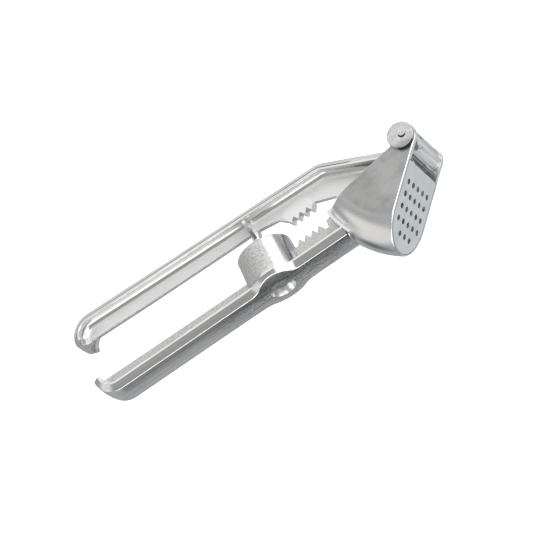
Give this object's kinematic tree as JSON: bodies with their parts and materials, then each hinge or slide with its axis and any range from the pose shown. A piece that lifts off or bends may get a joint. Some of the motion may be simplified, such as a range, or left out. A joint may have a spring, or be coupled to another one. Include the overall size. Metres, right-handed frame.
{
  "type": "garlic press",
  "caption": "Lever-action kitchen press with a perforated hopper, serrated nutcracker jaws and a stone-pitting cup between two hooked, ribbed handles.",
  "frame": {"origin": "on the hinge axis, on the outer face of the cap of the hinge pin", "axes": "+Z along the hinge pin, +X along the lower handle towards the hinge, +Y from the lower handle to the lever"},
  "size_m": [0.1765, 0.059, 0.0349],
  "materials": {
    "lower_casting": "polished casting with rough recesses",
    "lever_casting": "polished casting with rough recesses",
    "plate_metal": "satin",
    "plunger_metal": "as cast",
    "rivet_metal": "satin",
    "pin_metal": "rough",
    "spike_metal": "satin"
  },
  "bodies": {
    "hopper_body": {"hopper_handle": "lower_casting", "sieve_plate": "plate_metal", "hinge_pin": "pin_metal", "hinge_pin_cap": "pin_metal"},
    "lever_body": {"lever_handle": "lever_casting", "plunger": "plunger_metal", "plunger_rivets": "rivet_metal", "pitting_spike": "spike_metal"}
  },
  "joints": [
    {"name": "lever_hinge", "type": "hinge", "parent": "hopper_body", "child": "lever_body", "pos_m": [0, 0, 0.0169], "axis": [0, 0, 1], "range_deg": [-150, 5]}
  ]
}
